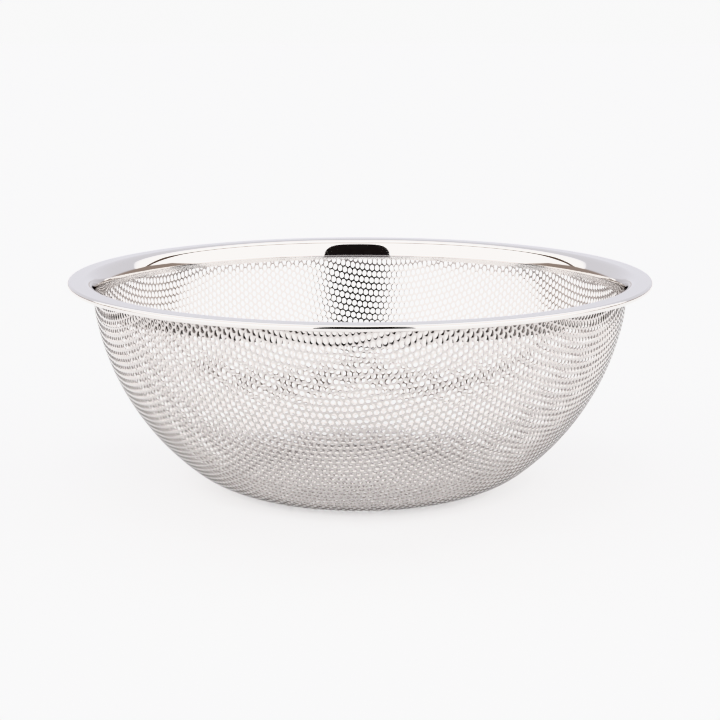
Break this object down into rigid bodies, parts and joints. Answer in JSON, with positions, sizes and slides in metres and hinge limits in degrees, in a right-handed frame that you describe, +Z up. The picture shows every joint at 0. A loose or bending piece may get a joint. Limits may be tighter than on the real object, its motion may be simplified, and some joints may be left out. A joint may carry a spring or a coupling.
{
  "type": "strainer bowl",
  "caption": "Round perforated stainless steel strainer bowl with a flat floor and a wide polished rim ring folded round its edge, for draining and rinsing food",
  "frame": {"origin": "centre of the flat floor's underside, on the surface the bowl stands on", "axes": "+Z up along the axis of revolution; +X and +Y are across the rim, -Y is the side seen from the front"},
  "size_m": [0.265, 0.265, 0.096],
  "materials": {
    "perforated_sheet": "drawn stainless sheet, satin-bright",
    "polished_rim": "mirror-polished stainless steel"
  },
  "bodies": {
    "root": {"perforated_bowl": "perforated_sheet", "rim_ring": "polished_rim"}
  },
  "joints": []
}
